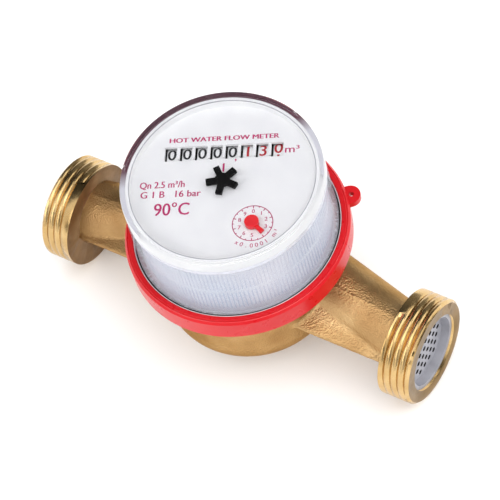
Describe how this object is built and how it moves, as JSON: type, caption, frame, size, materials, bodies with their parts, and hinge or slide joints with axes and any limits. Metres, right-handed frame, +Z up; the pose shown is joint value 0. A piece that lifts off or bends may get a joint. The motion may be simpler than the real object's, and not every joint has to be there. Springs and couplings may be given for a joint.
{
  "type": "water meter",
  "caption": "Single-jet dry-dial hot-water meter: cast brass body with threaded ends, red clamp ring, and a clear-covered register with drum counter, pointer and flow star.",
  "frame": {"origin": "centre of the inlet face, on the pipe axis", "axes": "+X along the flow from the inlet to the outlet, +Z up to the dial"},
  "size_m": [0.13, 0.0678, 0.0732],
  "materials": {
    "cast_brass": "matte",
    "grey_plastic": "satin",
    "steel": "brushed",
    "dark_plastic": "matte",
    "seal_rubber": "matte",
    "soft_iron": "matte",
    "red_plastic": "gloss",
    "white_plastic": "satin",
    "bush_plastic": "gloss",
    "ferrite": "matte",
    "clear_plastic": "gloss",
    "sheet_brass": "brushed",
    "dial_white": "satin",
    "black_plastic": "satin",
    "ivory_plastic": "satin"
  },
  "bodies": {
    "meter_body": {"body": "cast_brass", "inlet_strainer": "grey_plastic", "lower_pivot": "steel", "upper_pivot": "steel", "partition_plate": "dark_plastic", "o_ring": "seal_rubber", "retaining_ring": "steel", "shield_ring": "soft_iron", "clamp_ring": "red_plastic"},
    "impeller_body": {"impeller": "white_plastic", "impeller_lower_bush": "bush_plastic", "impeller_upper_bush": "bush_plastic", "impeller_magnet": "ferrite"},
    "register_head": {"register_housing": "white_plastic", "cover": "clear_plastic", "cover_seal": "seal_rubber", "gear_plate": "sheet_brass", "plate_pillars": "white_plastic", "plate_screws": "steel", "dial_plate": "dial_white", "left_bracket": "white_plastic", "right_bracket": "white_plastic", "drum_axle": "steel", "carry_axle": "steel"},
    "spindle_body": {"spindle": "steel", "magnet_hub": "white_plastic", "follower_magnet": "ferrite", "star_indicator": "black_plastic"},
    "first_gear_body": {"first_gear": "ivory_plastic"},
    "second_gear_body": {"second_gear": "ivory_plastic"},
    "pointer_body": {"pointer_gear": "ivory_plastic", "pointer": "red_plastic"},
    "idler_body": {"idler_gear": "ivory_plastic"},
    "worm_body": {"worm_shaft": "steel", "worm": "ivory_plastic"},
    "drum_1_body": {"drum_1": "dial_white"},
    "drum_2_body": {"drum_2": "dial_white"},
    "drum_3_body": {"drum_3": "dial_white"},
    "drum_4_body": {"drum_4": "dial_white"},
    "drum_5_body": {"drum_5": "dial_white"},
    "drum_6_body": {"drum_6": "dial_white"},
    "drum_7_body": {"drum_7": "dial_white"},
    "drum_8_body": {"drum_8": "dial_white"},
    "carry_pinion_1_body": {"carry_pinion_1": "ivory_plastic"},
    "carry_pinion_2_body": {"carry_pinion_2": "ivory_plastic"},
    "carry_pinion_3_body": {"carry_pinion_3": "ivory_plastic"},
    "carry_pinion_4_body": {"carry_pinion_4": "ivory_plastic"},
    "carry_pinion_5_body": {"carry_pinion_5": "ivory_plastic"},
    "carry_pinion_6_body": {"carry_pinion_6": "ivory_plastic"},
    "carry_pinion_7_body": {"carry_pinion_7": "ivory_plastic"}
  },
  "joints": [
    {"name": "impeller_spin", "type": "hinge", "parent": "meter_body", "child": "impeller_body", "pos_m": [0.0626, 0, 0.002], "axis": [0, 0, 1], "continuous": true},
    {"name": "register_turn", "type": "hinge", "parent": "meter_body", "child": "register_head", "pos_m": [0.0626, 0, 0.0268], "axis": [0, 0, 1], "continuous": true},
    {"name": "spindle_spin", "type": "hinge", "parent": "register_head", "child": "spindle_body", "pos_m": [0.0626, 0, 0.04], "axis": [0, 0, 1], "continuous": true},
    {"name": "first_gear_spin", "type": "hinge", "parent": "register_head", "child": "first_gear_body", "pos_m": [0.06529, 0.00753, 0.037], "axis": [0, 0, 1], "continuous": true},
    {"name": "second_gear_spin", "type": "hinge", "parent": "register_head", "child": "second_gear_body", "pos_m": [0.05761, 0.01092, 0.032], "axis": [0, 0, 1], "continuous": true},
    {"name": "pointer_spin", "type": "hinge", "parent": "register_head", "child": "pointer_body", "pos_m": [0.04786, 0.00865, 0.035], "axis": [0, 0, 1], "continuous": true},
    {"name": "idler_spin", "type": "hinge", "parent": "register_head", "child": "idler_body", "pos_m": [0.04628, -0.00405, 0.0345], "axis": [0, 0, 1], "continuous": true},
    {"name": "worm_spin", "type": "hinge", "parent": "register_head", "child": "worm_body", "pos_m": [0.04839, -0.01341, 0.04], "axis": [0, 0, 1], "continuous": true},
    {"name": "drum_8_spin", "type": "hinge", "parent": "register_head", "child": "drum_8_body", "pos_m": [0.05387, -0.0169, 0.0438], "axis": [0.891, 0.454, 0], "continuous": true},
    {"name": "drum_7_spin", "type": "hinge", "parent": "register_head", "child": "drum_7_body", "pos_m": [0.05788, -0.01486, 0.0438], "axis": [0.891, 0.454, 0], "continuous": true},
    {"name": "drum_6_spin", "type": "hinge", "parent": "register_head", "child": "drum_6_body", "pos_m": [0.06189, -0.01282, 0.0438], "axis": [0.891, 0.454, 0], "continuous": true},
    {"name": "drum_5_spin", "type": "hinge", "parent": "register_head", "child": "drum_5_body", "pos_m": [0.0659, -0.01077, 0.0438], "axis": [0.891, 0.454, 0], "continuous": true},
    {"name": "drum_4_spin", "type": "hinge", "parent": "register_head", "child": "drum_4_body", "pos_m": [0.06991, -0.00873, 0.0438], "axis": [0.891, 0.454, 0], "continuous": true},
    {"name": "drum_3_spin", "type": "hinge", "parent": "register_head", "child": "drum_3_body", "pos_m": [0.07392, -0.00669, 0.0438], "axis": [0.891, 0.454, 0], "continuous": true},
    {"name": "drum_2_spin", "type": "hinge", "parent": "register_head", "child": "drum_2_body", "pos_m": [0.07793, -0.00465, 0.0438], "axis": [0.891, 0.454, 0], "continuous": true},
    {"name": "drum_1_spin", "type": "hinge", "parent": "register_head", "child": "drum_1_body", "pos_m": [0.08194, -0.0026, 0.0438], "axis": [0.891, 0.454, 0], "continuous": true},
    {"name": "carry_pinion_7_spin", "type": "hinge", "parent": "register_head", "child": "carry_pinion_7_body", "pos_m": [0.05588, -0.01588, 0.0361], "axis": [0.891, 0.454, 0], "continuous": true},
    {"name": "carry_pinion_6_spin", "type": "hinge", "parent": "register_head", "child": "carry_pinion_6_body", "pos_m": [0.05989, -0.01384, 0.0361], "axis": [0.891, 0.454, 0], "continuous": true},
    {"name": "carry_pinion_5_spin", "type": "hinge", "parent": "register_head", "child": "carry_pinion_5_body", "pos_m": [0.0639, -0.0118, 0.0361], "axis": [0.891, 0.454, 0], "continuous": true},
    {"name": "carry_pinion_4_spin", "type": "hinge", "parent": "register_head", "child": "carry_pinion_4_body", "pos_m": [0.06791, -0.00975, 0.0361], "axis": [0.891, 0.454, 0], "continuous": true},
    {"name": "carry_pinion_3_spin", "type": "hinge", "parent": "register_head", "child": "carry_pinion_3_body", "pos_m": [0.07192, -0.00771, 0.0361], "axis": [0.891, 0.454, 0], "continuous": true},
    {"name": "carry_pinion_2_spin", "type": "hinge", "parent": "register_head", "child": "carry_pinion_2_body", "pos_m": [0.07593, -0.00567, 0.0361], "axis": [0.891, 0.454, 0], "continuous": true},
    {"name": "carry_pinion_1_spin", "type": "hinge", "parent": "register_head", "child": "carry_pinion_1_body", "pos_m": [0.07994, -0.00363, 0.0361], "axis": [0.891, 0.454, 0], "continuous": true}
  ],
  "couplings": [
    {"joint": "spindle_spin", "follows": "impeller_spin", "ratio": 1},
    {"joint": "first_gear_spin", "follows": "impeller_spin", "ratio": -0.33333},
    {"joint": "second_gear_spin", "follows": "impeller_spin", "ratio": 0.13333},
    {"joint": "pointer_spin", "follows": "impeller_spin", "ratio": -0.033333},
    {"joint": "idler_spin", "follows": "impeller_spin", "ratio": 0.033333},
    {"joint": "worm_spin", "follows": "impeller_spin", "ratio": -0.066667},
    {"joint": "drum_8_spin", "follows": "impeller_spin", "ratio": 0.0033333},
    {"joint": "drum_7_spin", "follows": "impeller_spin", "ratio": 0.00033333},
    {"joint": "drum_6_spin", "follows": "impeller_spin", "ratio": 0.000033333},
    {"joint": "drum_5_spin", "follows": "impeller_spin", "ratio": 0.0000033333},
    {"joint": "drum_4_spin", "follows": "impeller_spin", "ratio": 0.00000033333},
    {"joint": "drum_3_spin", "follows": "impeller_spin", "ratio": 0.000000033333},
    {"joint": "drum_2_spin", "follows": "impeller_spin", "ratio": 0.0000000033333},
    {"joint": "drum_1_spin", "follows": "impeller_spin", "ratio": 0.00000000033333},
    {"joint": "carry_pinion_7_spin", "follows": "impeller_spin", "ratio": -0.00083333},
    {"joint": "carry_pinion_6_spin", "follows": "impeller_spin", "ratio": -0.000083333},
    {"joint": "carry_pinion_5_spin", "follows": "impeller_spin", "ratio": -0.0000083333},
    {"joint": "carry_pinion_4_spin", "follows": "impeller_spin", "ratio": -0.00000083333},
    {"joint": "carry_pinion_3_spin", "follows": "impeller_spin", "ratio": -0.000000083333},
    {"joint": "carry_pinion_2_spin", "follows": "impeller_spin", "ratio": -0.0000000083333},
    {"joint": "carry_pinion_1_spin", "follows": "impeller_spin", "ratio": -0.00000000083333}
  ]
}
